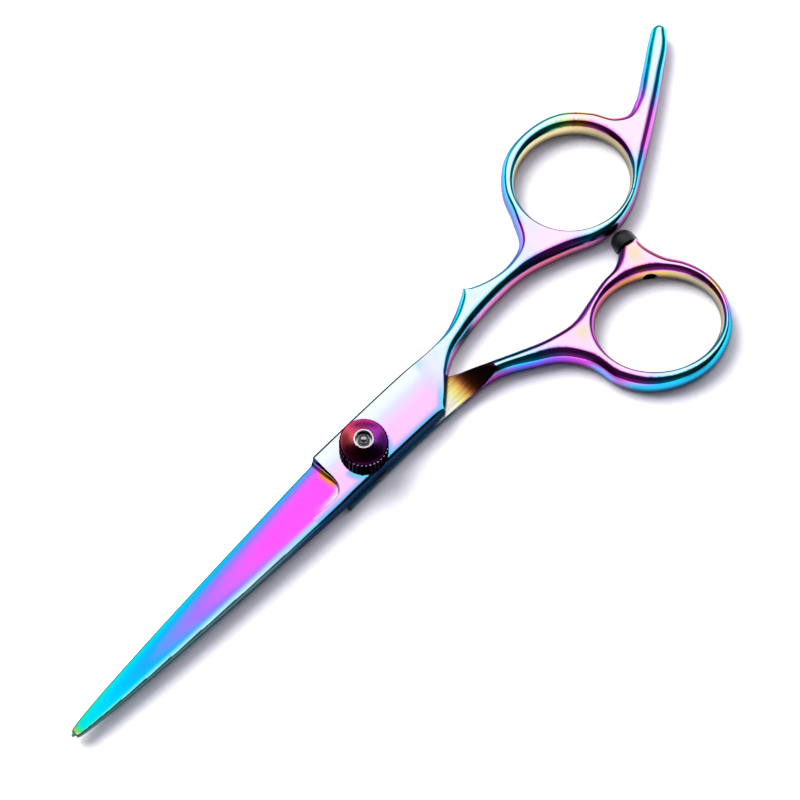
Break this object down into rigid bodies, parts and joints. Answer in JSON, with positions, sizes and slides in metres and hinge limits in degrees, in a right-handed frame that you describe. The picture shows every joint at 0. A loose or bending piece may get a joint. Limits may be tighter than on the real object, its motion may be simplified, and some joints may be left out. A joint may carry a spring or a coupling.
{
  "type": "thinning shears",
  "caption": "Hairdressing thinning shears, closed: plain front blade over a toothed rear blade, offset handle rings, finger rest, rubber bumper and a knurled pivot dial.",
  "frame": {"origin": "on the pivot axis, at the rear face of the pivot screw, which is the plane the closed shears lie on", "axes": "+X from the blade tips to the rings, +Y to the finger ring, +Z from the thumb half up to the tension dial; the shears are closed"},
  "size_m": [0.1729, 0.0566, 0.0141],
  "materials": {
    "rainbow_coat": "mirror-polished steel with a rainbow oxide coat",
    "dial_coat": "polished, purple to red rainbow oxide coat",
    "steel": "polished stainless steel",
    "spring_steel": "plain spring steel",
    "bronze": "plain bearing bronze",
    "polymer": "plain polymer washer",
    "rubber": "black rubber"
  },
  "bodies": {
    "finger_half": {"finger_blade": "rainbow_coat", "pivot_screw": "steel", "click_plate": "spring_steel", "spring_washer": "spring_steel", "friction_washer": "polymer"},
    "thumb_half": {"thumb_blade": "rainbow_coat", "pivot_bush": "bronze", "ride_washer": "polymer", "bumper": "rubber", "bumper_screw": "steel"},
    "dial": {"tension_dial": "dial_coat", "dial_insert": "steel"}
  },
  "joints": [
    {"name": "blade_pivot", "type": "hinge", "parent": "finger_half", "child": "thumb_half", "pos_m": [0, 0, 0.003], "axis": [0, 0, -1], "range_deg": [0, 90]},
    {"name": "dial_turn", "type": "hinge", "parent": "finger_half", "child": "dial", "pos_m": [0, 0, 0.01], "axis": [0, 0, 1], "range_deg": [-90, 90]}
  ]
}
